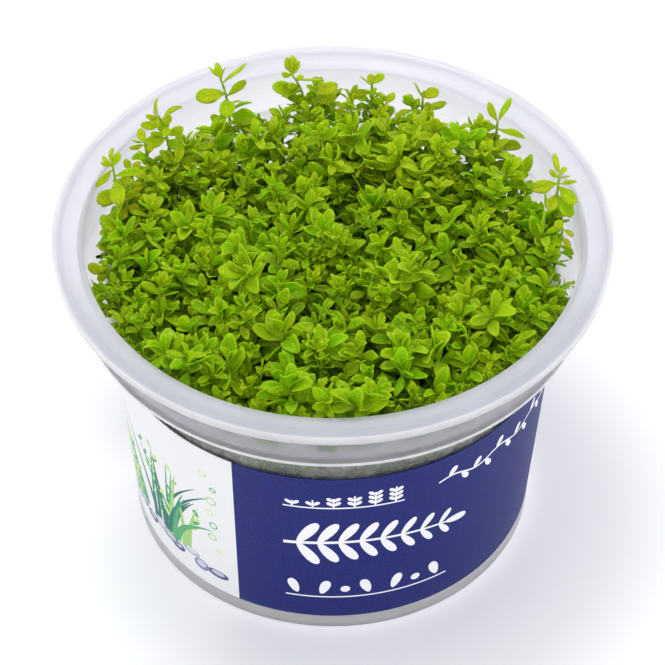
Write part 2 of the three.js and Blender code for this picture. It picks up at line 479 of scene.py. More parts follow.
class PEARLWEED_OT_gel(bpy.types.Operator):
    """Pour the nutrient gel, with the low meniscus where it climbs the wall"""

    bl_idname = "pearlweed.gel"
    bl_label = "Nutrient Gel"

    def execute(self, context):
        top = context.scene.pearlweed_gel.depth / MM
        gap = 0.12
        edge = body_radius(top) - 0.9 - gap
        corners = [
            (0, 1.45, 0),
            (body_radius(1.4) - 0.9 - gap, 1.45, 1.55),
            (edge, top, 0),
            (edge - 0.25, top, 0),
            (edge - 1.6, top - 0.55, 0.8),
            (0, top - 0.7, 0),
        ]
        bm = turn_profile(corners, 96)
        mesh = mesh_from_bmesh("set_gel", bm)
        crease_sharp(mesh, 50)
        finish_piece("set_gel", mesh, [set_gel()], ["nutrient_gel"])
        return {"FINISHED"}


# Sleeve


SLEEVE_LOW, SLEEVE_HIGH = 3.5, 44.2
SLEEVE_OFFSET, SLEEVE_THICKNESS = 0.4, 0.15
SLEEVE_RADIUS = body_radius((SLEEVE_LOW + SLEEVE_HIGH) / 2) + SLEEVE_OFFSET
SLEEVE_LAP = 6.0
LAP_LIFT = 0.19
SLEEVE_COLUMN = 2.5

LEAF_INKS = [
    (0.62, 0.78, 0.3),
    (0.36, 0.62, 0.2),
    (0.1, 0.4, 0.17),
    (0.03, 0.26, 0.18),
    (0.02, 0.16, 0.13),
]
STRAND_INKS = [(0.09, 0.1, 0.24), (0.24, 0.26, 0.42), (0.46, 0.47, 0.6)]
WHITE_INK = (0.9, 0.9, 0.93)


def leaf_outline(base, angle, length, width, points=10):
    """A pointed oval leaf in the plane, from its base along an angle."""
    out = []
    for k in range(points):
        turn = 2 * math.pi * k / points
        along = (1 - math.cos(turn)) / 2 * length
        across = math.sin(turn) * width / 2 * (1 - 0.25 * math.cos(turn))
        out.append(
            (
                base[0] + along * math.cos(angle) - across * math.sin(angle),
                base[1] + along * math.sin(angle) + across * math.cos(angle),
            )
        )
    return out[::-1]


def disc(centre, radius, points=28):
    return [
        (
            centre[0] + radius * math.cos(2 * math.pi * k / points),
            centre[1] + radius * math.sin(2 * math.pi * k / points),
        )
        for k in range(points)
    ]


def band(points, width_start, width_end):
    """A tapering ribbon along a line of points."""
    left, right = [], []
    for k, point in enumerate(points):
        before, after = points[max(k - 1, 0)], points[min(k + 1, len(points) - 1)]
        along = Vector((after[0] - before[0], after[1] - before[1])).normalized()
        half = (width_start + (width_end - width_start) * k / (len(points) - 1)) / 2
        left.append((point[0] - along.y * half, point[1] + along.x * half))
        right.append((point[0] + along.y * half, point[1] - along.x * half))
    return right + left[::-1]


def curve_points(start, angle, length, bend, count=10):
    """Points along a line that starts at an angle and bends evenly."""
    points, x, y = [start], start[0], start[1]
    for _ in range(count - 1):
        angle += bend / (count - 1)
        x += math.cos(angle) * length / (count - 1)
        y += math.sin(angle) * length / (count - 1)
        points.append((x, y))
    return points


def white_sprig(shapes, start, length):
    """The front's ornament: one lying sprig with paired leaves."""
    stem = curve_points(start, 0.12, length, -0.24, 25)
    shapes.append((band(stem, 0.8, 0.45), WHITE_INK))
    for k in range(2, 24, 3):
        size = 1 - 0.02 * k
        for side in (1, -1):
            shapes.append((leaf_outline(stem[k], side * 1.02, 7.4 * size, 2.3 * size, 16), WHITE_INK))
    shapes.append((leaf_outline(stem[-1], -0.1, 4.6, 1.9, 16), WHITE_INK))


def tendril(shapes, left, right, height):
    """A thin wavy line with small leaves on alternate sides."""
    line = [(left + (right - left) * k / 48, height + 0.7 * math.sin(k * math.pi / 8)) for k in range(49)]
    shapes.append((band(line, 0.4, 0.4), WHITE_INK))
    for k in range(3, 48, 4):
        side = (1, -1)[k // 4 % 2]
        shapes.append((leaf_outline(line[k], side * 1.05, 2.7, 1.2, 12), WHITE_INK))


def top_ornaments(shapes):
    """Small ornaments along the top of the front: a row of rising plants and a leafy tendril."""
    base = 36.0
    shapes.append((band([(-8.6, base), (12.6, base)], 0.35, 0.35), WHITE_INK))
    for k in range(6):
        x, height = -7.0 + k * 3.6, 1.7 + k * 0.55
        shapes.append((band([(x, base), (x, base + height)], 0.32, 0.32), WHITE_INK))
        for side in (1, -1):
            for level in range(1 + k // 2):
                start = (x, base + 0.7 + level * 1.2)
                shapes.append((leaf_outline(start, math.pi / 2 - side * 0.85, 1.6, 0.8), WHITE_INK))
    tendril(shapes, 19.0, 51.0, 37.6)


def foot_border(shapes, left, right, height):
    """A thin rule with small leaves standing on it, turned about from one to the next."""
    shapes.append((band([(left, height), (right, height)], 0.35, 0.35), WHITE_INK))
    count = round((right - left) / 4.4)
    for k in range(count):
        start = (left + (right - left) * (k + 0.5) / count, height + 0.9)
        if k % 3 == 2:
            shapes.append((disc((start[0], start[1] + 1.5), 0.9), WHITE_INK))
        else:
            shapes.append((leaf_outline(start, math.pi / 2 + (0.3, -0.3)[k % 3], 4.2, 1.9, 14), WHITE_INK))


def reed_artwork(shapes, paper, rng):
    """The white panel's picture: arching reeds behind round pebbles, with rings that rise beside them."""
    for k in range(30):
        at = -25.5 - 29.0 * rng.random()
        lean = (at + 39.0) * 0.022 + rng.normal(0, 0.1)
        height = (10 + 17 * math.exp(-(((at + 38.5) / 10.5) ** 2))) * rng.uniform(0.72, 1.05)
        start = (at * 0.72 - 11.0, 10.6 + rng.uniform(-0.8, 0.8))
        line = curve_points(start, math.pi / 2 - lean * 0.5, height, -lean * 2.2 - rng.normal(0, 0.2), 14)
        near = math.exp(-(((at + 38.5) / 8) ** 2))
        ink = LEAF_INKS[int(np.clip(round(0.4 + 3.4 * near + rng.normal(0, 0.9)), 0, 4))]
        shapes.append((band(line, rng.uniform(1.1, 2.1), 0.14), ink))
        if k % 3 == 0:
            for point in line[3::2]:
                ink = LEAF_INKS[int(rng.integers(0, 3))]
                angle = math.pi / 2 - lean + (-1, 1)[int(rng.integers(2))] * rng.uniform(0.5, 1.0)
                leaf = leaf_outline(point, angle, rng.uniform(1.8, 2.8), rng.uniform(0.8, 1.2), 10)
                shapes.append((leaf, ink))
    for k in range(11):
        centre = (-23.5 - 3.1 * k + rng.uniform(-0.6, 0.6), 9.3 + rng.uniform(-1.2, 1.2))
        wide, high = rng.uniform(1.5, 2.9), rng.uniform(0.9, 1.6)
        ink = STRAND_INKS[k % 3]
        pale = tuple(0.45 * c + 0.55 * w for c, w in zip(ink, WHITE_INK))
        for scale, lift, tone in ((1.0, 0.0, ink), (0.62, 0.25, pale)):
            round_outline = disc(centre, 1.0, 20)
            across = [centre[0] + (x - centre[0]) * wide * scale for x, _ in round_outline]
            upward = [centre[1] + lift + (y - centre[1]) * high * scale for _, y in round_outline]
            shapes.append((list(zip(across, upward)), tone))
    for k in range(7):
        centre = (-21.6 - 2.6 * rng.random(), 15.5 + 3.6 * k)
        radius = rng.uniform(0.5, 1.15)
        shapes.append((disc(centre, radius, 20), LEAF_INKS[k % 3]))
        shapes.append((disc(centre, radius - 0.28, 20), paper))


def sleeve_shapes(navy, paper):
    """Every printed shape in drawing order, as (outline, ink) in millimetres from the front's middle."""
    half = math.pi * SLEEVE_RADIUS
    shapes = []
    panel_left = -68.0
    left = [(-half, SLEEVE_LOW), (panel_left, SLEEVE_LOW), (panel_left, SLEEVE_HIGH), (-half, SLEEVE_HIGH)]
    right = [
        (-18.5, SLEEVE_LOW),
        (half + SLEEVE_LAP, SLEEVE_LOW),
        (half + SLEEVE_LAP, SLEEVE_HIGH),
        (-17.55, SLEEVE_HIGH),
    ]
    shapes += [(left, navy), (right, navy)]
    reed_artwork(shapes, paper, np.random.default_rng(8))
    top_ornaments(shapes)
    white_sprig(shapes, (-8.8, 25.2), 30)
    foot_border(shapes, -8.8, 22.5, 9.4)
    foot_border(shapes, 62.0, 106.0, 9.4)
    return shapes


def flat_sheet(outlines, start, end):
    """The outlines laid into one flat triangulated sheet, with a line across it every few degrees."""
    points, faces, edges = [], [], []
    for outline in outlines:
        faces.append(list(range(len(points), len(points) + len(outline))))
        points += [Vector(p) for p in outline]
    columns = round((end - start) / (SLEEVE_RADIUS * math.radians(SLEEVE_COLUMN)))
    for k in range(1, columns):
        x = start + (end - start) * k / columns
        edges.append((len(points), len(points) + 1))
        points += [Vector((x, SLEEVE_LOW)), Vector((x, SLEEVE_HIGH))]
    flat, _, triangles, _, _, owners = delaunay_2d_cdt(points, edges, faces, 1, 1e-5)
    return flat, triangles, owners


def inked_sheet(flat, triangles, owners, inks, paper):
    """The sheet with its thickness: printed outside, bare inside, and its cut edges in the print's ink,
    painted shade that keeps the edge as dark as the face beside it along the dark gap at the sleeve's top.
    """
    bm = bmesh.new()
    verts = [bm.verts.new((p.x, p.y, 0)) for p in flat]
    ink_layer = bm.loops.layers.float_color.new("ink")
    for triangle, owner in zip(triangles, owners):
        if not owner:
            continue
        face = bm.faces.new([verts[i] for i in triangle])
        for loop in face.loops:
            loop[ink_layer] = rgba(inks[max(owner)])
    printed = bm.faces[:]
    grown = bmesh.ops.extrude_face_region(bm, geom=printed, use_keep_orig=True)["geom"]
    inner = {v for v in grown if isinstance(v, bmesh.types.BMVert)}
    outer = set(bm.verts) - inner
    for face in set(bm.faces) - set(printed):
        if inner.issuperset(face.verts):
            for loop in face.loops:
                loop[ink_layer] = rgba(paper)
            continue
        # Painted shade: a cut edge takes the ink of the printed face next to it rather than bare paper, so
        # that the edge stays dark along the shadowed gap at the sleeve's top.
        for edge in face.edges:
            for other in edge.link_faces:
                if other is not face and outer.issuperset(other.verts):
                    for loop in face.loops:
                        loop[ink_layer] = other.loops[0][ink_layer]
    return bm, outer, inner


def wrap_round_body(verts, depth, half):
    """Takes flat points to their place round the body, lifted a little where the ends lap at the back."""
    for v in verts:
        x, height = v.co.x, v.co.y
        turn = x / SLEEVE_RADIUS - math.pi / 2
        lap = min(max((x - half + 4) / 4, 0), 1)
        radius = body_radius(height) + SLEEVE_OFFSET - depth + lap * lap * (3 - 2 * lap) * LAP_LIFT
        v.co = (radius * math.cos(turn), radius * math.sin(turn), height)


class PEARLWEED_OT_sleeve(bpy.types.Operator):
    """Print the paper sleeve flat, wrap it round the body and lap its ends at the back"""

    bl_idname = "pearlweed.sleeve"
    bl_label = "Printed Sleeve"

    def execute(self, context):
        sleeve = context.scene.pearlweed_sleeve
        navy, paper = tuple(sleeve.navy), tuple(sleeve.paper)
        shapes = sleeve_shapes(navy, paper)
        half = math.pi * SLEEVE_RADIUS
        end = half + SLEEVE_LAP
        sheet = [(-half, SLEEVE_LOW), (end, SLEEVE_LOW), (end, SLEEVE_HIGH), (-half, SLEEVE_HIGH)]
        outlines = [sheet] + [outline for outline, _ in shapes]
        inks = [paper] + [ink for _, ink in shapes]
        bm, outer, inner = inked_sheet(*flat_sheet(outlines, -half, end), inks, paper)
        wrap_round_body(outer, 0.0, half)
        wrap_round_body(inner, SLEEVE_THICKNESS, half)
        bmesh.ops.recalc_face_normals(bm, faces=bm.faces)
        mesh = mesh_from_bmesh("printed_sleeve", bm)
        crease_sharp(mesh, 40)
        finish_piece("printed_sleeve", mesh, [printed_paper()], ["label_sleeve"])
        return {"FINISHED"}


# Pearlweed


TUFTS_PER_RING = (1, 6, 12, 18)
RING_SPACING = 11.6
RING_TURNS = (0, 0.6, 1.2, 0)
ROOT_SCALE = 0.91
LEDGE_HEIGHT = 54.6
ROOT_HEIGHT = 9.9
MAT_REACH = 40.6
LEAF_THICKNESS = 0.026
WALL_AND_GAP = 1.02
LEDGE_GAP = 0.12

# Directions as they are seen from the front and above
SIGHT = math.radians(45.8)
VIEW_ACROSS = np.array([1.0, 0.0, 0.0])
VIEW_UP = np.array([0.0, math.sin(SIGHT), math.cos(SIGHT)])
VIEW_FRONT = np.array([0.0, -math.cos(SIGHT), math.sin(SIGHT)])

# Shoots that stand above the mat: the tip's place, how far the stem leans across on its way down, and its
# leaves. A leaf is its foot's depth below the tip, its reach across, up and to the front, its width and its
# roll in degrees, where 0 turns its face to the front
SHOOTS = (
    # left of the back, the tallest
    ((-20.7, 33.4, 71.5), 2.5, (
        (0.2, -0.8, 3.1, 0.5, 1.4, 10), (0.2, -2.3, 2.5, 0, 1.3, 78), (0.5, 0.8, 2.6, -0.5, 1.0, 75),
        (1.0, 4.3, 3.5, 0.5, 2.0, 56), (4.3, 3.5, 2.8, -0.3, 2.1, -48), (3.6, -5.5, -0.7, 0.5, 2.8, 5),
        (4.9, 0.2, -3.7, 3, 2.9, 0), (6.9, 2.6, 1.1, -1, 1.4, 78), (8.1, 4.2, 1.8, -0.5, 1.8, 78),
        (8.7, 5.0, -0.8, 1.5, 3.1, 0), (11.6, -3.6, 2.1, 0.5, 1.8, 20), (10.9, -1.8, -1.4, 1.5, 2.3, 0),
    )),
    # left, two that lean together
    ((-31.7, 24.1, 70.8), 3.0, (
        (0.2, -0.2, 3.6, 0, 1.4, 70), (0.2, -1.0, 1.6, -0.5, 0.8, 70), (0.3, -2.4, 0.3, 0.5, 1.1, 30),
        (1.0, 3.8, 2.4, 0.3, 1.6, 52), (2.2, -4.0, 0, 0.6, 1.6, 20), (4.4, -2.8, 0, 0.5, 1.4, 30),
        (5.4, -4.2, -1.3, 1.2, 2.3, 0), (4.7, -1.2, 2.9, -0.5, 2.1, 10), (4.6, 0.5, 2.8, 0.5, 1.1, 30),
        (4.9, 3.0, 1.5, 0, 2.0, 20), (0.6, -1.9, -0.7, 0.8, 1.3, 10), (2.4, 1.3, 1.9, 0.4, 1.7, 10),
        (2.5, 1.0, -1.8, 1.4, 1.8, 0), (5.8, 2.0, -1.6, 1.4, 2.0, 0),
    )),
    ((-34.2, 21.2, 66.8), 0.7, (
        (0, -1.0, 2.7, 0.3, 1.7, 15), (0, -2.6, 0.7, 0, 1.2, 78), (0.4, -2.9, -0.6, 0.4, 1.2, 40),
        (1.0, 1.6, 0, 1, 1.6, 10),
    )),
    # back, left of the middle, with its neighbour
    ((-7.9, 38.3, 68.4), 5.0, (
        (0.4, -1.0, 3.2, 0.5, 1.7, 10), (0.4, 0.1, 3.6, 0.1, 1.7, -5), (0.4, 1.2, 2.7, -0.2, 1.5, 20),
        (0.4, -2.0, 0.3, 0.5, 1.2, 35), (1.4, 1.6, 0.3, 0.5, 1.0, 20), (4.8, -5.4, 1.0, 1, 2.6, 5),
        (3.9, -3.9, 0.5, 0, 1.8, 10), (3.4, -2.2, -0.2, 1.2, 1.6, 10), (1.8, 4.9, 0.2, -0.2, 1.2, 60),
        (7.5, -3.3, 2.2, 0.6, 1.6, 30), (8.6, 1.4, 2.4, 0.3, 1.5, 15),
    )),
    ((-3.2, 36.8, 64.8), 0.4, (
        (0, 3.8, 1.7, 0.8, 2.5, 10), (0, 1.2, 2.6, -1.5, 1.5, 50), (2.6, 3.5, 1.5, 0.3, 1.9, 10),
        (4.4, 0, 2.3, 0, 1.4, 20),
    )),
    # back, right of the middle
    ((7.0, 39.4, 65.1), 0.1, (
        (0.6, -0.4, 2.2, 0, 1.5, 10), (0.2, 2.2, 1.8, 0.2, 1.6, 10), (0.7, -2.2, 1.8, 0, 1.3, 78),
        (2.0, -3.6, -0.4, 0.7, 1.7, 20), (2.3, 2.6, -0.7, 0.5, 1.6, 55),
    )),
    ((9.4, 36.9, 62.0), -0.3, (
        (0, 1.7, 2.2, 0, 1.7, 25), (0.6, -1.7, 1.6, 0.4, 1.7, 20),
    )),
    ((16.3, 36.5, 64.2), 0.1, (
        (0, -1.6, 2.8, 0, 1.4, 72), (0, 3.0, 1.2, 0.5, 2.1, 10), (0, 0.4, 1.3, -0.3, 1.2, 40),
        (2.4, -3.6, 2.0, 0.3, 1.7, 25), (2.4, 1.6, 0.4, 0.5, 1.3, 20), (3.3, 4.4, 1.6, 0, 1.7, 20),
    )),
    # right of the back
    ((25.9, 28.7, 63.7), 0.2, (
        (0, -0.3, 1.6, 0, 0.7, 40), (0.1, -1.3, 2.3, -0.3, 1.0, 75),
    )),
    ((29.8, 28.1, 65.7), -0.2, (
        (0.1, -1.6, 3.7, 0.4, 1.4, 20), (0, 2.4, 4.4, 0.2, 1.4, 15), (1.4, 5.4, -1.8, 0.8, 1.5, 25),
        (6.3, 5.2, 0.7, 0.8, 2.1, 10), (1.4, -3.5, 0.5, 1.2, 2.2, 5), (3.1, -2.7, -1.0, 2, 2.1, 0),
    )),
    # right
    ((40.1, 9.2, 70.3), -0.2, (
        (0.1, -1.0, 3.9, 0.3, 1.2, 15), (0.7, -1.7, 1.5, 0.3, 1.0, 30), (0.1, 1.2, 1.5, 0, 1.0, 10),
        (0.7, 2.0, 0.4, -0.3, 0.7, 50), (2.1, 3.2, 0.4, 0.3, 0.9, 20), (2.0, -5.0, -1.0, 0.8, 2.5, 10),
        (2.6, 3.0, -3.3, 1.5, 2.6, 5), (4.7, 2.6, -4.0, 2, 2.5, 0), (4.4, -1.6, -3.2, 2.5, 2.3, 0),
        (9.1, 1.2, -2.2, 2, 2.0, 0),
    )),
    ((40.5, 0.8, 65.2), -0.5, (
        (0.1, 1.9, -1.3, 0.3, 1.0, 20), (2.0, 1.5, -2.1, 0.5, 1.2, 15), (0.3, -1.1, 1.6, 0.5, 1.8, 10),
    )),
    # left edge
    ((-39.6, 12.4, 69.8), 0.6, (
        (0, 0.1, 3.1, 0, 1.0, 40), (0.4, 1.2, 2.5, 0.3, 1.5, 5), (0.3, -1.8, 1.8, 0.2, 1.0, 30),
        (0.3, -2.2, 0.8, 0.2, 0.9, 60), (1.1, -3.1, -3.1, 0.8, 1.5, 25), (5.9, -3.4, -2.6, 1.5, 2.6, 0),
        (3.7, 1.0, -4.7, 2.8, 2.8, 0), (2.7, 5.3, 0.6, 0.8, 1.5, 20), (8.1, -3.1, -1.5, 0.5, 1.6, 50),
    )),
    ((-36.6, 16.8, 64.4), 0.4, (
        (0.1, -1.2, 2.0, 0.3, 1.5, 15), (0.2, 1.6, 1.6, 0.3, 1.5, 10), (0.8, 2.8, -0.6, 0.8, 1.9, 15),
        (1.2, -1.9, -1.6, 1.2, 2.0, 10), (2.6, 1.2, -2.6, 2.0, 2.4, 0), (3.2, 3.6, 0.4, 0.6, 2.0, 15),
    )),
    ((-34.0, 14.4, 64.0), 0.2, (
        (0.1, -0.8, 1.9, 0.3, 1.3, 20), (0.3, 1.7, 1.2, 0.2, 1.5, 15), (1.2, -2.6, -0.4, 0.8, 1.8, 10),
        (1.4, 1.4, -1.9, 1.2, 2.0, 5), (3.0, -1.0, -2.6, 2.0, 2.2, 0),
    )),
    ((-37.4, 11.0, 62.6), 0.3, (
        (0.2, 1.4, 1.7, 0.2, 1.4, 10), (0.3, -1.6, 1.2, 0.3, 1.3, 20), (1.5, 2.4, -1.2, 1.0, 2.0, 0),
        (1.9, -1.4, -2.2, 1.6, 2.2, 0),
    )),
    ((-40.8, 3.5, 62.0), 0.5, (
        (0, -0.7, 2.2, 0, 0.8, 50), (2.1, 0.7, 1.9, 0.3, 1.4, 10), (2.1, -0.8, -2.1, 1.4, 2.2, 0),
    )),
    ((-40.2, -4.8, 60.3), 0.5, (
        (0.3, -3.5, 1.1, 0.6, 2.0, 15), (1.3, -1.9, -0.5, 1, 1.8, 20),
    )),
)


def tuft_centres():
    centres = []
    for ring, count in enumerate(TUFTS_PER_RING):
        for step in range(count):
            turn = 2 * math.pi * step / count + RING_TURNS[ring]
            centres.append((ring * RING_SPACING * math.cos(turn), ring * RING_SPACING * math.sin(turn)))
    return np.array(centres)


class Template:
    """A small closed shape kept as arrays, so that many placed copies can be joined into one mesh."""

    def __init__(self, bm):
        bm.verts.index_update()
        layers = [bm.verts.layers.float.get(n) for n in ("u", "v", "under", "margin")]
        self.co = np.array([v.co[:] for v in bm.verts])
        self.extra = np.array([[v[layer] if layer else 0 for layer in layers] for v in bm.verts])
        self.loops = np.array([loop.vert.index for face in bm.faces for loop in face.loops])
        self.totals = np.array([len(face.verts) for face in bm.faces])
        bm.free()


def leaf_template(columns, rows, width, blunt, fold, bend, cup, twist, taper):
    """One leaf of unit length along +Y with its upper face to +Z.

    A grid is rounded to an oval with an uneven edge, narrowed to its base, folded along the midrib, bent and
    given its thickness. The outline goes from a blunt spoon at taper 0 to a pointed ellipse at taper 1."""
    bm = bmesh.new()
    bmesh.ops.create_grid(bm, x_segments=columns, y_segments=rows, size=1)
    names = ("u", "v", "under", "margin")
    u_layer, v_layer, under_layer, margin_layer = (bm.verts.layers.float.new(n) for n in names)
    for v in bm.verts:
        u, t = v.co.x, v.co.y
        x, y = u * math.sqrt(1 - t * t / 2), t * math.sqrt(1 - u * u / 2)
        along = (y + 1) / 2
        v[u_layer], v[v_layer], v[margin_layer] = (u + 1) / 2, along, max(abs(u), abs(t))
        foot = min(max(along / (0.48 - 0.1 * taper), 0), 1)
        tip = max((along - 0.72 + 0.12 * taper) / (0.28 + 0.12 * taper), 0)
        x *= width / 2 * (0.9 + 0.04 * taper + (0.16 - 0.1 * taper) * y)
        x *= (0.27 + 0.73 * foot * foot * (3 - 2 * foot)) * (1 - (0.18 + 0.12 * taper) * tip)
        x *= (1 + y * y) ** blunt * (1 + 0.07 * math.sin(9 * along + 2.1 * u + 11 * width))
        lift = fold * abs(x) + cup * x * x / width
        angle = bend * (along - 0.5)
        if abs(bend) > 1e-6:
            reach = (math.sin(angle) + math.sin(bend / 2)) / bend
            height = (math.cos(bend / 2) - math.cos(angle)) / bend
        else:
            reach, height = along, 0
        roll = twist * (along - 0.3)
        lift, x = lift * math.cos(roll) + x * math.sin(roll), x * math.cos(roll)
        v.co = (x, reach - lift * math.sin(angle), height + lift * math.cos(angle))
    bm.normal_update()
    if sum(face.normal.z for face in bm.faces) < 0:
        bmesh.ops.reverse_faces(bm, faces=bm.faces)
        bm.normal_update()
    normals = {tuple(round(c, 6) for c in v.co): v.normal.copy() for v in bm.verts}
    grown = bmesh.ops.extrude_face_region(bm, geom=bm.faces[:], use_keep_orig=True)["geom"]
    for v in [v for v in grown if isinstance(v, bmesh.types.BMVert)]:
        v.co -= normals[tuple(round(c, 6) for c in v.co)] * LEAF_THICKNESS
        v[under_layer] = 1.0
    bmesh.ops.recalc_face_normals(bm, faces=bm.faces)
    return Template(bm)


def stem_template(sides):
    """A closed length of stem of unit radius and height, from z = 0 to z = 1."""
    bm = bmesh.new()
    bmesh.ops.create_cone(bm, cap_ends=True, segments=sides, radius1=1, radius2=1, depth=1)
    bmesh.ops.translate(bm, vec=(0, 0, 0.5), verts=bm.verts)
    return Template(bm)


class Gathering:
    """Placed copies of templates, joined into one mesh with their leaf attributes."""

    def __init__(self):
        self.co, self.extra, self.loops, self.totals = [], [], [], []
        self.age, self.kind, self.count = [], [], 0

    def add(self, template, matrices, origins, ages, kind):
        co = np.einsum("nij,mj->nmi", matrices, template.co) + origins[:, None, :]
        if kind == 0:
            clear = ~cuts_corner(co)
            co, ages = co[clear], ages[clear]
        n, m = len(co), len(template.co)
        if not n:
            return
        self.co.append(co.reshape(-1, 3))
        self.extra.append(np.tile(template.extra, (n, 1)))
        self.loops.append((template.loops[None, :] + self.count + m * np.arange(n)[:, None]).ravel())
        self.totals.append(np.tile(template.totals, n))
        self.age.append(np.repeat(ages, m))
        self.kind.append(np.full(n * len(template.totals), kind))
        self.count += n * m

    def mesh(self, name):
        co = settle(np.concatenate(self.co)) * MM
        extra = np.concatenate(self.extra)
        loops, totals = np.concatenate(self.loops), np.concatenate(self.totals)
        mesh = bpy.data.meshes.new(name)
        mesh.vertices.add(len(co))
        mesh.vertices.foreach_set("co", co.ravel())
        mesh.loops.add(len(loops))
        mesh.loops.foreach_set("vertex_index", loops.astype(np.int32))
        mesh.polygons.add(len(totals))
        starts = np.concatenate([[0], np.cumsum(totals)[:-1]])
        mesh.polygons.foreach_set("loop_start", starts.astype(np.int32))
        mesh.polygons.foreach_set("material_index", np.concatenate(self.kind).astype(np.int32))
        mesh.polygons.foreach_set("use_smooth", np.ones(len(totals), bool))
        mesh.update(calc_edges=True)
        uv = mesh.uv_layers.new(name="leaf_uv")
        uv.data.foreach_set("uv", extra[loops][:, :2].ravel().astype(np.float32))
        per_vertex = (("age", np.concatenate(self.age)), ("under", extra[:, 2]), ("margin", extra[:, 3]))
        for attribute, values in per_vertex:
            layer = mesh.attributes.new(attribute, "FLOAT", "POINT")
            layer.data.foreach_set("value", values.astype(np.float32))
        mesh.validate()
        return mesh


def resting(radius, height):
    """Which points would be in the ledge's plastic, so that they are lifted on to it."""
    ledge = LEDGE_HEIGHT + LEDGE_GAP
    return (height < ledge) & (ledge - height < radius - (body_radius(height) - WALL_AND_GAP))


def cuts_corner(co):
    """Which leaves would lie partly on the ledge and partly well below it, through the cup's inner corner."""
    radius, height = np.hypot(co[..., 0], co[..., 1]), co[..., 2]
    rests = resting(radius, height)
    return rests.any(axis=1) & (~rests & (height < LEDGE_HEIGHT - 0.3)).any(axis=1)


def settle(co):
    """Keeps leaves inside the cup: they lie along its wall, on its ledge and against its collar."""
    radius, height = np.hypot(co[:, 0], co[:, 1]), co[:, 2]
    wall = body_radius(height) - WALL_AND_GAP
    ledge = LEDGE_HEIGHT + LEDGE_GAP
    height = np.where(resting(radius, height), ledge, height)
    collar = 44.5 - (height - LEDGE_HEIGHT) * 0.06 - 0.35 * np.exp(-(height - LEDGE_HEIGHT) / 0.5)
    limit = np.where(height < ledge - 0.01, wall, np.where(height > 64.6, 46.8, collar))
    soft = 0.6
    over = np.maximum(radius - (limit - soft), 0)
    eased = np.where(over > 0, limit - soft + soft * (1 - np.exp(-over / soft)), radius)
    scale = np.where(radius > 1e-6, eased / np.maximum(radius, 1e-6), 1)
    return np.stack([co[:, 0] * scale, co[:, 1] * scale, height], axis=1)


def up(height):
    return np.array([0, 0, height])


def outward(turn):
    """The level direction away from the cup's axis at that turn, and the one square to it."""
    out = np.array([math.cos(turn), math.sin(turn), 0])
    return out, np.array([-out[1], out[0], 0])


def any_normal(direction):
    helper = np.array([1.0, 0, 0]) if abs(direction[0]) < 0.9 else np.array([0, 1.0, 0])
    side = np.cross(direction, helper)
    side /= np.linalg.norm(side)
    return side, np.cross(direction, side)


def rolled(side, top, roll):
    """Two square directions turned about the third by that angle."""
    return math.cos(roll) * side + math.sin(roll) * top, math.cos(roll) * top - math.sin(roll) * side


class StemPath:
    """A smooth line from the root through two guide points to the tip, measured down from the tip."""

    def __init__(self, root, bend, neck, tip):
        share = np.linspace(0, 1, 24)[:, None]
        rest = 1 - share
        low, high = rest**3 * root + 3 * rest**2 * share * bend, 3 * rest * share**2 * neck
        self.points = low + high + share**3 * tip
        self.run = np.concatenate([[0], np.cumsum(np.linalg.norm(np.diff(self.points, axis=0), axis=1))])
        self.total = self.run[-1]

    def below(self, depth):
        return np.array([np.interp(self.total - depth, self.run, self.points[:, k]) for k in range(3)])

    def heading(self, depth):
        step = self.below(max(depth - 0.6, 0)) - self.below(depth + 0.6)
        return step / np.linalg.norm(step)


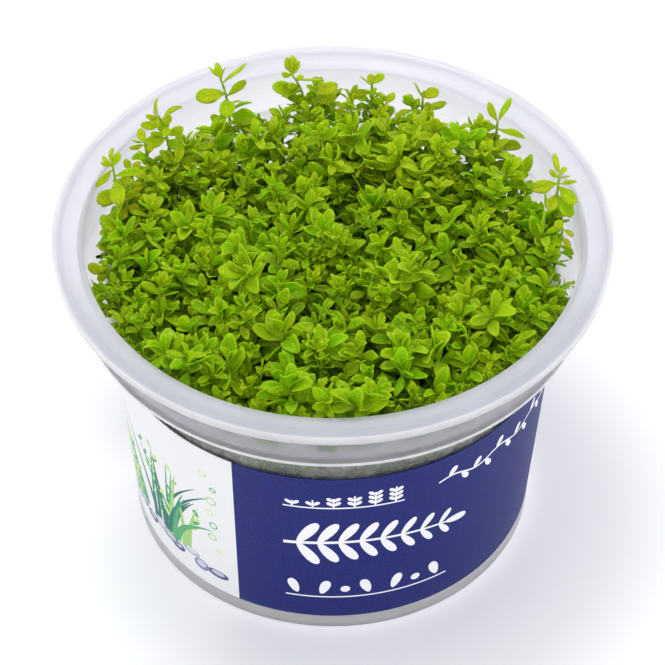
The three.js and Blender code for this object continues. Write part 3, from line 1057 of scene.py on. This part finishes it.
class Grower:
    """Grows stems into one gathering per tuft."""

    def __init__(self, plants):
        self.rng = np.random.default_rng(plants.seed)
        self.leaf_length = plants.leaf_length / MM
        self.mat_top = plants.mat_top / MM
        self.centres = tuft_centres()
        self.gatherings = [Gathering() for _ in self.centres]
        shapes = [
            (0.48, 0.2, 0.16, -0.5, 0.7, 0.0, 0.5),
            (0.45, 0.3, 0.26, 0.5, 0.3, 0.2, 0.3),
            (0.52, 0.1, 0.1, -1.1, 0.9, -0.25, 0.8),
            (0.42, 0.35, 0.3, 0.1, 0.2, 0.35, 0.4),
            (0.54, 0.15, 0.12, 0.85, 1.1, -0.1, 0.6),
            (0.46, 0.0, 0.2, -0.2, -0.9, 0.3, 1.0),
            (0.5, 0.25, 0.22, -0.8, 0.5, -0.45, 0.3),
        ]
        held = [
            (0.47, 0.3, 0.14, -0.45, 0.7, 0.0, 0.0),
            (0.45, 0.45, 0.1, -0.8, 0.6, -0.2, 0.3),
            (0.5, 0.2, 0.12, 0.6, 0.9, 0.15, 0.1),
            (0.48, 0.35, 0.18, -0.2, -0.6, 0.25, 0.0),
        ]
        self.held_widths = [shape[0] for shape in held]
        self.pools = {
            "fine": [leaf_template(4, 5, *shape) for shape in shapes],
            "plain": [leaf_template(2, 4, *shape) for shape in shapes[:5]],
            "coarse": [leaf_template(2, 2, *shape) for shape in shapes[:4]],
            "held": [leaf_template(4, 6, *shape) for shape in held],
            "stem": [stem_template(6)],
        }
        self.pending = [{} for _ in self.centres]

    def tuft_of(self, x, y):
        return int(np.argmin((self.centres[:, 0] - x) ** 2 + (self.centres[:, 1] - y) ** 2))

    def place(self, tuft, template_key, matrix, origin, age, kind):
        self.pending[tuft].setdefault((template_key, kind), []).append((matrix, origin, age))

    def leaf(self, tuft, origin, stem_dir, radial, pitch, length, age, grade, roll=0.0, width=1.0):
        """One leaf of that grade from a node: pitch is its angle away from the stem's tip."""
        along = math.cos(pitch) * stem_dir + math.sin(pitch) * radial
        top = math.sin(pitch) * stem_dir - math.cos(pitch) * radial
        side = np.cross(along, top)
        if roll:
            side, top = rolled(side, top, roll)
        matrix = np.stack([side * length * width, along * length, top * length], axis=1)
        self.place(tuft, (grade, int(self.rng.integers(len(self.pools[grade])))), matrix, origin, age, 0)

    def stem_run(self, tuft, points, radii):
        for a, b, radius in zip(points, points[1:], radii):
            step = b - a
            length = np.linalg.norm(step)
            direction = step / length
            side, other = any_normal(direction)
            matrix = np.stack([side * radius, other * radius, direction * (length + radius * 0.5)], axis=1)
            self.place(tuft, ("stem", 0), matrix, a, 0.4, 1)

    def held_leaf(self, tuft, origin, reach, width, roll, age):
        """A leaf whose reach from its foot is given across, upwards and forwards in the front view."""
        across, rise, front = reach
        vector = across * VIEW_ACROSS + rise * VIEW_UP + front * VIEW_FRONT
        self.turned_leaf(tuft, origin, vector, VIEW_FRONT, width, age, math.radians(roll))

    def turned_leaf(self, tuft, origin, reach, facing, width, age, roll=0.0):
        """A leaf from its foot along its reach, with its upper face to that side before it is rolled."""
        length = np.linalg.norm(reach)
        along = reach / length
        top = facing - along * (along @ facing)
        top /= np.linalg.norm(top)
        side, top = rolled(np.cross(along, top), top, roll)
        pick = int(self.rng.integers(len(self.held_widths)))
        wide = side * width / self.held_widths[pick]
        matrix = np.stack([wide, along * length * 1.02, top * length], axis=1)
        self.place(tuft, ("held", pick), matrix, origin, age, 0)

    def grow(
        self, tuft, path, length, nodes, steps,
        stage=0.5, tone=0.0, fine_nodes=4, start=0.0, girth=1.0, least=0.16,
    ):
        """One stem up its path, with a whorl of leaves at each node from the start depth below the tip.

        Leaves lengthen and open with their distance from the tip; stage 1 opens the tip's leaves wide."""
        rng = self.rng
        total = path.total
        depths, depth = [], start
        for k in range(nodes):
            depth += steps[min(k, len(steps) - 1)] * rng.uniform(0.85, 1.2)
            depths.append(depth)
        turn = rng.uniform(0, 2 * math.pi)
        for k, depth in enumerate(depths):
            origin, direction = path.below(depth), path.heading(depth)
            side, other = any_normal(direction)
            grown = depth + stage * 1.3
            count = 2 if k == 0 else (3 if rng.random() < 0.45 else 4)
            turn += math.pi / count + rng.normal(0, 0.15)
            size = length * (1 - math.exp(-(grown + 0.25) / 1.25)) * max(0.7, 1 - 0.02 * depth)
            opening = 12 + 68 * (1 - math.exp(-grown / 1.9))
            for j in range(count):
                angle = turn + 2 * math.pi * j / count + rng.normal(0, 0.26)
                radial = math.cos(angle) * side + math.sin(angle) * other
                pitch = math.radians(opening + rng.normal(0, 19))
                age = float(np.clip(0.18 + 0.06 * depth + tone + rng.normal(0, 0.13), least, 1))
                grade = "fine" if k < fine_nodes else ("plain" if k < 5 else "coarse")
                leaf_size, roll = size * rng.uniform(0.86, 1.2), rng.normal(0, 0.52)
                width = rng.uniform(0.76, 1.02)
                self.leaf(tuft, origin, direction, radial, pitch, leaf_size, age, grade, roll, width)
        stations = [path.below(total), path.below((total + depths[-1]) * 0.5)]
        stations += [path.below(depth) for depth in reversed(depths)]
        if start:
            stations += [path.below(start * share) for share in (0.8, 0.6, 0.4, 0.2, 0.0)]
        radii = np.linspace(0.24, 0.13, len(stations) - 1) * (0.7 + 0.08 * length) * girth
        self.stem_run(tuft, stations, radii)

    def join(self):
        for gathering, pending in zip(self.gatherings, self.pending):
            for ((grade, pick), kind), rows in sorted(pending.items()):
                matrices, origins, ages = (np.array(column) for column in zip(*rows))
                gathering.add(self.pools[grade][pick], matrices, origins, ages, kind)


def hummock(x, y):
    """Gentle unevenness of the mat's top."""
    broad = 0.9 * math.sin(x * 0.19 + 0.7) * math.cos(y * 0.16 - 0.4)
    return broad + 0.6 * math.sin(0.31 * x - 0.27 * y + 2.0)


# where the mat stands up in clumps and sinks in hollows, as (across, back, lift); through the leaves' tone
# the clumps also get painted light and the hollows painted shade
CLUMPS = (
    (16.4, 18.0, 1.7), (2.2, -7.9, 1.5), (19.0, -10.4, 1.5), (-29.6, -9.9, 1.4),
    (-31.4, 8.1, 1.2), (-15.5, -20.3, 1.2), (7.5, -24.0, 1.2), (-20.8, -28.9, 1.2),
    (24.3, -22.7, 1.1), (29.6, 20.5, 1.0), (1.3, 13.0, -1.8), (7.5, 15.5, -1.5),
    (-16.4, 3.2, -1.8), (-22.0, 7.6, -1.5), (-4.9, -3.5, -1.6), (-30.5, -2.5, -1.4),
    (-15.5, -15.3, -1.4), (-10.2, -23.2, -1.4), (-22.6, -33.8, -1.2), (-8.4, -30.6, -1.4),
    (20.8, -3.5, -1.4), (13.7, -14.1, -1.3), (19.0, -32.1, -1.2), (-27.0, 11.8, -1.2),
    (16.4, 9.3, -1.3),
)


def clump_lift(x, y):
    return sum(lift * math.exp(-((x - a) ** 2 + (y - b) ** 2) / 18) for a, b, lift in CLUMPS)


def scattered_spots(rng, reach, spacing, tries, kept=()):
    """Places over the cup's plan that keep apart from each other, and half as far from the kept ones."""
    spots = []
    for _ in range(tries):
        turn, radius = rng.uniform(0, 2 * math.pi), reach * math.sqrt(rng.random())
        x, y = radius * math.cos(turn), radius * math.sin(turn)
        clear = all((x - a) ** 2 + (y - b) ** 2 > spacing**2 for a, b in spots)
        if clear and all((x - a) ** 2 + (y - b) ** 2 > (spacing * 0.5) ** 2 for a, b in kept):
            spots.append((x, y))
    return spots


def mat_path(rng, x, y, height):
    """A stem's line from the gel, up along the cup's wall for the outer ones, to a tip that leans."""
    radius = math.hypot(x, y)
    inward = 1 - radius / MAT_REACH
    foot = min(radius * ROOT_SCALE, 35.2) / max(radius, 1e-6)
    inside = min(radius, 37.2) / max(radius, 1e-6)
    root = np.array([x * foot, y * foot, ROOT_HEIGHT])
    bend = np.array([x * foot, y * foot, 40.0])
    lean = rng.normal(0, 2.4, 2)
    neck = np.array([x * inside + lean[0], y * inside + lean[1], height - 7.5])
    sway = rng.normal(0, 2.2, 2) * inward
    return StemPath(root, bend, neck, np.array([x + sway[0], y + sway[1], height]))


# how far the mat sinks at the back wall, from left to right as (across, sink)
BACK_HOLLOWS = (
    (-34, 0), (-29, 3), (-24, 6), (-12, 7), (-8, 3), (-3, 1), (1, 3), (6, 5), (10, 3), (24, 2), (30, 0),
)


def mat_height(grower, rng, x, y):
    """Height of a stem's tip: a low dome, higher at the back and the left, with hollows along the back."""
    out = math.hypot(x, y) / MAT_REACH
    height = grower.mat_top + 1.9 * (1 - out * out) + hummock(x, y) + rng.normal(0, 1.1)
    if y > 10:
        height += 0.07 * (y - 10) + rng.uniform(0, 1.6) * out
    height += 2.4 * math.exp(-((x + 36) ** 2 + (y - 16) ** 2) / 50) + clump_lift(x, y)
    if y > 20:
        sink = np.interp(x, *zip(*BACK_HOLLOWS))
        height -= sink * min(max((out * MAT_REACH - 35) / 5.5, 0), 1)
    return min(height, 62.8) if y > 28 and abs(x) < 21 else height


def grow_mat(grower, plants):
    """Stems scattered at an even distance over the whole cup, with shorter, finer ones between them."""
    rng = grower.rng
    spots = scattered_spots(rng, MAT_REACH, plants.stem_pitch / MM * 0.87, 9000)
    steps = (0.3, 0.65, 1.2, 1.7, 2.2, 2.7, 3.2, 3.6)
    for x, y in spots:
        outer = math.hypot(x, y) > 0.84 * MAT_REACH
        length = grower.leaf_length * float(np.clip(rng.normal(0.97, 0.22), 0.55, 1.35))
        path = mat_path(rng, x, y, mat_height(grower, rng, x, y))
        nodes = 7 if y > 20 or not outer else 10
        back = min(max((y - 2) / 24, 0), 1)
        # Painted light: leaves towards the back get a lower age, and so the lighter and yellower colours, for
        # the light from behind; clumps that stand up get painted light and hollows painted shade through the
        # same tone.
        tone = rng.normal(0, 0.16) - 0.22 * back - 0.1 * clump_lift(x, y)
        length *= 1 - 0.1 * back
        least = 0.16 - 0.06 * back
        grower.grow(grower.tuft_of(x, y), path, length, nodes, steps, rng.random(), tone, 3, least=least)
    steps = (0.3, 0.8, 1.4, 1.8, 2.1)
    for x, y in scattered_spots(rng, MAT_REACH, 4.4, 6000, spots):
        if y > 24:
            continue
        length = grower.leaf_length * rng.uniform(0.5, 0.8)
        path = mat_path(rng, x, y, mat_height(grower, rng, x, y) - rng.uniform(1.5, 5.0))
        grower.grow(grower.tuft_of(x, y), path, length, 5, steps, rng.random(), rng.normal(0.15, 0.12), 0)


def grow_undergrowth(grower):
    """Low stems with wide-open leaves, which close the gaps between the taller ones."""
    rng = grower.rng
    steps = (0.3, 1.6, 2.4)
    for x, y in scattered_spots(rng, 38.5, 4.5, 4000):
        if y > 21 and rng.random() < 0.75:
            continue
        path = mat_path(rng, x, y, mat_height(grower, rng, x, y) - rng.uniform(4.5, 8.0))
        length = rng.uniform(3.4, 4.6)
        grower.grow(grower.tuft_of(x, y), path, length, 3, steps, 1.0, rng.normal(0.1, 0.12), 0)


def grow_wall_stems(grower, count=84):
    """Stems that were held under the ledge and press their leaves on the cup's clear wall."""
    rng = grower.rng
    steps = (0.4, 1.6, 2.3, 2.6)
    for k in range(count):
        out, tangent = outward(2 * math.pi * (k + rng.uniform(-0.3, 0.3)) / count)
        tip = out * 37.9 + tangent * rng.normal(0, 2.0) + up(rng.uniform(49.5, 52.8))
        neck = out * 36.9 + tangent * rng.normal(0, 4.5) + up(43)
        path = StemPath(out * 35.0 + up(ROOT_HEIGHT), out * 35.6 + up(26), neck, tip)
        tuft = grower.tuft_of(tip[0], tip[1])
        grower.grow(tuft, path, rng.uniform(2.6, 4.0), 4, steps, 1.0, rng.normal(0.1, 0.15), 0)
        for depth in (0.8, 3.2, 5.6):
            turned = rng.uniform(0, 2 * math.pi)
            for side in (0, math.pi):
                angle = turned + side + rng.normal(0, 0.3)
                reach = (math.cos(angle) * tangent + math.sin(angle) * up(1)) * rng.uniform(2.4, 4.2)
                facing = out + tangent * rng.normal(0, 0.25) + up(rng.normal(0, 0.25))
                age = float(np.clip(rng.normal(0.2, 0.25), 0, 1))
                foot = path.below(depth) + out * 0.9
                grower.turned_leaf(tuft, foot, reach, facing, rng.uniform(1.5, 2.3), age)


def grow_ledge_stems(grower, count=60):
    """Stems at the front that turn over the ledge and fill the corner behind the collar."""
    rng = grower.rng
    steps = (0.2, 0.9, 1.3, 1.6)
    for k in range(count):
        out, tangent = outward(math.radians(190 + 160 * (k + rng.uniform(-0.35, 0.35)) / count))
        across = tangent * rng.normal(0, 1.6)
        tip = out * rng.uniform(42.6, 43.8) + across + up(rng.uniform(56.5, 60.5))
        path = StemPath(out * 35.0 + up(ROOT_HEIGHT), out * 33.5 + up(50), out * 36.0 + up(58), tip)
        tuft = grower.tuft_of(tip[0], tip[1])
        grower.grow(tuft, path, rng.uniform(2.2, 3.4), 4, steps, 0.8, rng.normal(0.12, 0.15), 0)


def grow_shoots(grower):
    """The tall shoots at the back and the sides, each from the outer tuft nearest to it."""
    for tip, lean, leaves in SHOOTS:
        tip = np.array(tip) + VIEW_ACROSS * 0.3
        out = np.array([tip[0], tip[1], 0]) / math.hypot(tip[0], tip[1])
        neck = tip + np.array([lean * 1.2, 0, -9.0])
        path = StemPath(out * 34.0 + up(ROOT_HEIGHT), out * 38.0 + up(46), neck, tip)
        tuft = grower.tuft_of(tip[0], tip[1])
        for drop, across, rise, front, width, roll in leaves:
            age = float(np.clip(0.02 + 0.015 * drop + grower.rng.normal(0, 0.09), 0, 1))
            grower.held_leaf(tuft, path.below(drop), (across, rise, front), width, roll, age)
        lowest = max(leaf[0] for leaf in leaves)
        grower.grow(tuft, path, 3.8, 5, (1.8, 2.0, 2.4, 2.8), 0.9, -0.05, 3, lowest, 1.6, 0.0)


class PEARLWEED_OT_tufts(bpy.types.Operator):
    """Grow the pearlweed: one piece of stems and leaves for each tuft"""

    bl_idname = "pearlweed.tufts"
    bl_label = "Pearlweed Tufts"

    def execute(self, context):
        plants = context.scene.pearlweed_plants
        grower = Grower(plants)
        grow_mat(grower, plants)
        grow_undergrowth(grower)
        grow_wall_stems(grower)
        grow_ledge_stems(grower)
        grow_shoots(grower)
        grower.join()
        materials = [leaf_flesh(), stem_flesh()]
        for index, gathering in enumerate(grower.gatherings, 1):
            name = f"pearlweed_tuft_{index:02d}"
            finish_piece(name, gathering.mesh(name), materials, [f"tuft_{index:02d}"])
        return {"FINISHED"}


# Stage


CAMERA_PLACE = (0.0, -469.1, 522.1)
CAMERA_DOWN = 45.807
CAMERA_LENS = 200.0


def area_light(name, place, target, size, power):
    data = bpy.data.lights.new(name, "AREA")
    data.shape = "DISK"
    data.size = size
    data.energy = power
    light = bpy.data.objects.new(name, data)
    light.location = place
    light.rotation_euler = (Vector(target) - Vector(place)).to_track_quat("-Z", "Y").to_euler()
    bpy.context.scene.collection.objects.link(light)


class PEARLWEED_OT_stage(bpy.types.Operator):
    """Set the pale floor, the soft lights and the camera"""

    bl_idname = "pearlweed.stage"
    bl_label = "Stage"

    def execute(self, context):
        scene = context.scene
        stage = scene.pearlweed_stage
        pale = rgba(stage.floor)
        surface = Surface("pale_floor", base_color=pale, roughness=0.9, specular_ior_level=0.1)
        tone = surface.remap(surface.noise(surface.place, 3), 0.3, 0.7, 0.985, 1.0)
        surface.drive("Base Color", surface.toned(pale, tone))
        bm = bmesh.new()
        bmesh.ops.create_grid(bm, x_segments=1, y_segments=1, size=4000)
        floor = bpy.data.objects.new("floor", mesh_from_bmesh("floor", bm, smooth=False))
        floor.data.materials.append(surface.material)
        scene.collection.objects.link(floor)

        world = bpy.data.worlds.new("even_surround")
        world.use_nodes = True
        background = world.node_tree.nodes["Background"]
        background.inputs["Color"].default_value = (0.97, 0.98, 1.0, 1)
        background.inputs["Strength"].default_value = stage.sky
        scene.world = world

        area_light("key", (-0.14, 0.16, 1.08), (0, 0, 0.05), 0.36, stage.key)
        area_light("fill", (0.2, 0.85, 0.7), (0, 0, 0.05), 0.8, stage.key * 0.5)

        data = bpy.data.cameras.new("camera")
        data.lens = CAMERA_LENS
        data.sensor_width = 36
        data.clip_start, data.clip_end = 0.05, 20
        camera = bpy.data.objects.new("camera", data)
        camera.location = [c * MM for c in CAMERA_PLACE]
        camera.rotation_euler = (math.radians(90 - CAMERA_DOWN), 0, 0)
        scene.collection.objects.link(camera)
        scene.camera = camera
        scene.view_settings.view_transform = "Standard"
        return {"FINISHED"}


OPERATORS = (
    PEARLWEED_OT_cup,
    PEARLWEED_OT_gel,
    PEARLWEED_OT_sleeve,
    PEARLWEED_OT_tufts,
    PEARLWEED_OT_stage,
)


class PEARLWEED_PT_panel(bpy.types.Panel):
    """Sizes, colours and the builders, in the 3D view's sidebar"""

    bl_idname = "PEARLWEED_PT_panel"
    bl_label = "Pearlweed Cup"
    bl_space_type = "VIEW_3D"
    bl_region_type = "UI"
    bl_category = "Pearlweed"

    def draw(self, context):
        for attribute, group in SETTINGS.items():
            box = self.layout.box()
            settings = getattr(context.scene, attribute)
            for key in group.__annotations__:
                box.prop(settings, key)
        for operator in OPERATORS:
            self.layout.operator(operator.bl_idname)


def register():
    for group in SETTINGS.values():
        bpy.utils.register_class(group)
    for attribute, group in SETTINGS.items():
        setattr(bpy.types.Scene, attribute, bpy.props.PointerProperty(type=group))
    for operator in OPERATORS:
        bpy.utils.register_class(operator)
    bpy.utils.register_class(PEARLWEED_PT_panel)


def unregister():
    bpy.utils.unregister_class(PEARLWEED_PT_panel)
    for operator in reversed(OPERATORS):
        bpy.utils.unregister_class(operator)
    for attribute, group in reversed(SETTINGS.items()):
        delattr(bpy.types.Scene, attribute)
        bpy.utils.unregister_class(group)


def main():
    register()
    bpy.ops.pearlweed.cup()
    bpy.ops.pearlweed.gel()
    bpy.ops.pearlweed.sleeve()
    bpy.ops.pearlweed.tufts()
    bpy.ops.pearlweed.stage()


if __name__ == "__main__":
    main()
